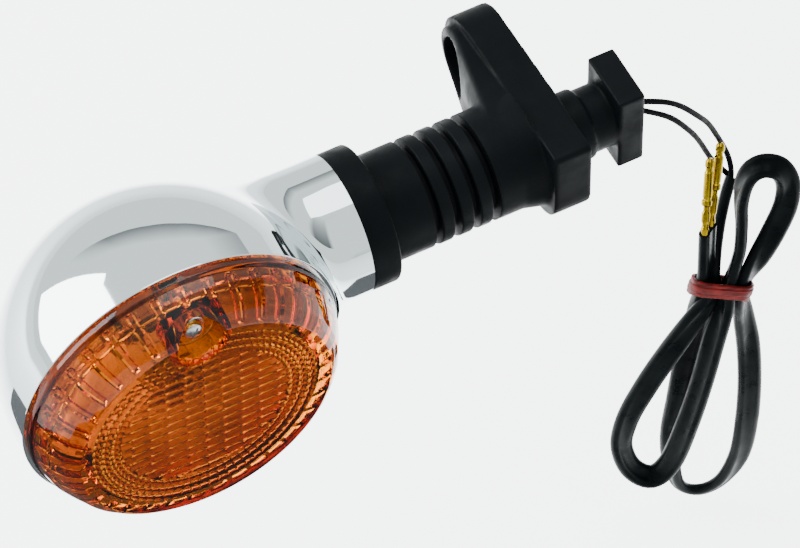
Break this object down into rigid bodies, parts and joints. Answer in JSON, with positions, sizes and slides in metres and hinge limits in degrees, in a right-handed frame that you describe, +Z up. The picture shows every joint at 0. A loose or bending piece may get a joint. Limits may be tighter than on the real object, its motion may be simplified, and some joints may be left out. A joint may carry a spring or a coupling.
{
  "type": "turn signal lamp",
  "caption": "Chrome bowl turn signal with a round amber lens on a ribbed flexible rubber stem, with a mounting lug, bracket slot, tied wire hank and brass bullet terminals.",
  "frame": {"origin": "on the axis of the lug hole, at the rear face of the lug plate (the face that lies against the bracket)", "axes": "+X along the stem away from the lamp and along the lug hole's axis, -Y the way the lens faces, +Z up towards the lens screw"},
  "size_m": [0.2361, 0.082, 0.2515],
  "materials": {
    "chrome": "polished",
    "reflector_silver": "mirror-bright, slightly diffuse",
    "amber_lens": "clear amber, glossy, fluted",
    "gasket_foam": "matt foam",
    "screw_steel": "zinc plated",
    "clear_glass": "clear",
    "cap_brass": "satin",
    "pin_brass": "bright",
    "solder": "dull",
    "black_glass": "glossy",
    "filament_wire": "dark",
    "socket_steel": "zinc plated",
    "phenolic": "matt",
    "contact_brass": "bright",
    "spring_steel": "bright",
    "wire_black": "satin insulation",
    "stem_rubber": "satin",
    "sleeve_black": "soft glossy sleeve",
    "band_red": "satin",
    "bullet_brass": "bright"
  },
  "bodies": {
    "mount": {"stem_mount": "stem_rubber", "stem_plug": "stem_rubber", "wires_mount": "wire_black", "lead_hot": "wire_black", "lead_ground": "wire_black", "sleeve_start": "sleeve_black", "sleeve_hank": "sleeve_black", "sleeve_tail": "sleeve_black", "tie_band": "band_red", "bullet_hot": "bullet_brass", "bullet_ground": "bullet_brass"},
    "flex_link": {"stem_bellows": "stem_rubber", "wires_bellows": "wire_black"},
    "head": {"stem_head": "stem_rubber", "stem_stud": "screw_steel", "neck_washer": "screw_steel", "stem_nut": "screw_steel", "housing": "chrome", "reflector": "reflector_silver", "socket_shell": "socket_steel", "socket_rivets": "socket_steel", "socket_insulator": "phenolic", "hot_tag": "contact_brass", "ground_tag": "socket_steel", "wires_head": "wire_black", "lens_gasket": "gasket_foam", "contact_spring": "spring_steel"},
    "lens": {"lens": "amber_lens"},
    "screw_slide": {"screw_washer": "screw_steel"},
    "screw": {"lens_screw": "screw_steel"},
    "contact": {"contact_plunger": "contact_brass"},
    "bulb": {"bulb_glass": "clear_glass", "bulb_cap": "cap_brass", "bulb_pins": "pin_brass", "bulb_contact": "solder", "bulb_insulator": "black_glass", "bulb_filament": "filament_wire", "filament_posts": "filament_wire", "glass_bead": "clear_glass"}
  },
  "joints": [
    {"name": "flex_fore_aft", "type": "hinge", "parent": "mount", "child": "flex_link", "pos_m": [-0.0365, -0.031, 0], "axis": [0, 0, 1], "range_deg": [-12, 12], "stiffness_Nm_per_rad": 12, "deforming": ["stem_bellows", "wires_bellows"]},
    {"name": "flex_up_down", "type": "hinge", "parent": "flex_link", "child": "head", "pos_m": [-0.0365, -0.031, 0], "axis": [0, 1, 0], "range_deg": [-12, 12], "stiffness_Nm_per_rad": 12, "deforming": ["stem_bellows", "wires_bellows"]},
    {"name": "lens_off", "type": "slide", "parent": "head", "child": "lens", "axis": [0, -1, 0], "range_m": [0, 0.03]},
    {"name": "screw_back_out", "type": "slide", "parent": "lens", "child": "screw_slide", "axis": [0, -1, 0], "range_m": [0, 0.005]},
    {"name": "screw_turn", "type": "hinge", "parent": "screw_slide", "child": "screw", "pos_m": [-0.12, -0.054, 0.032], "axis": [0, -1, 0], "range_deg": [0, 3600]},
    {"name": "bulb_push", "type": "slide", "parent": "head", "child": "contact", "axis": [0, 1, 0], "range_m": [0, 0.0015], "stiffness_N_per_m": 1500, "springref_m": -0.004, "deforming": ["contact_spring"]},
    {"name": "bulb_twist", "type": "hinge", "parent": "contact", "child": "bulb", "pos_m": [-0.12, -0.024, 0], "axis": [0, 1, 0], "range_deg": [0, 20]}
  ],
  "couplings": [
    {"joint": "screw_turn", "follows": "screw_back_out", "rad_per_m": 12566}
  ]
}
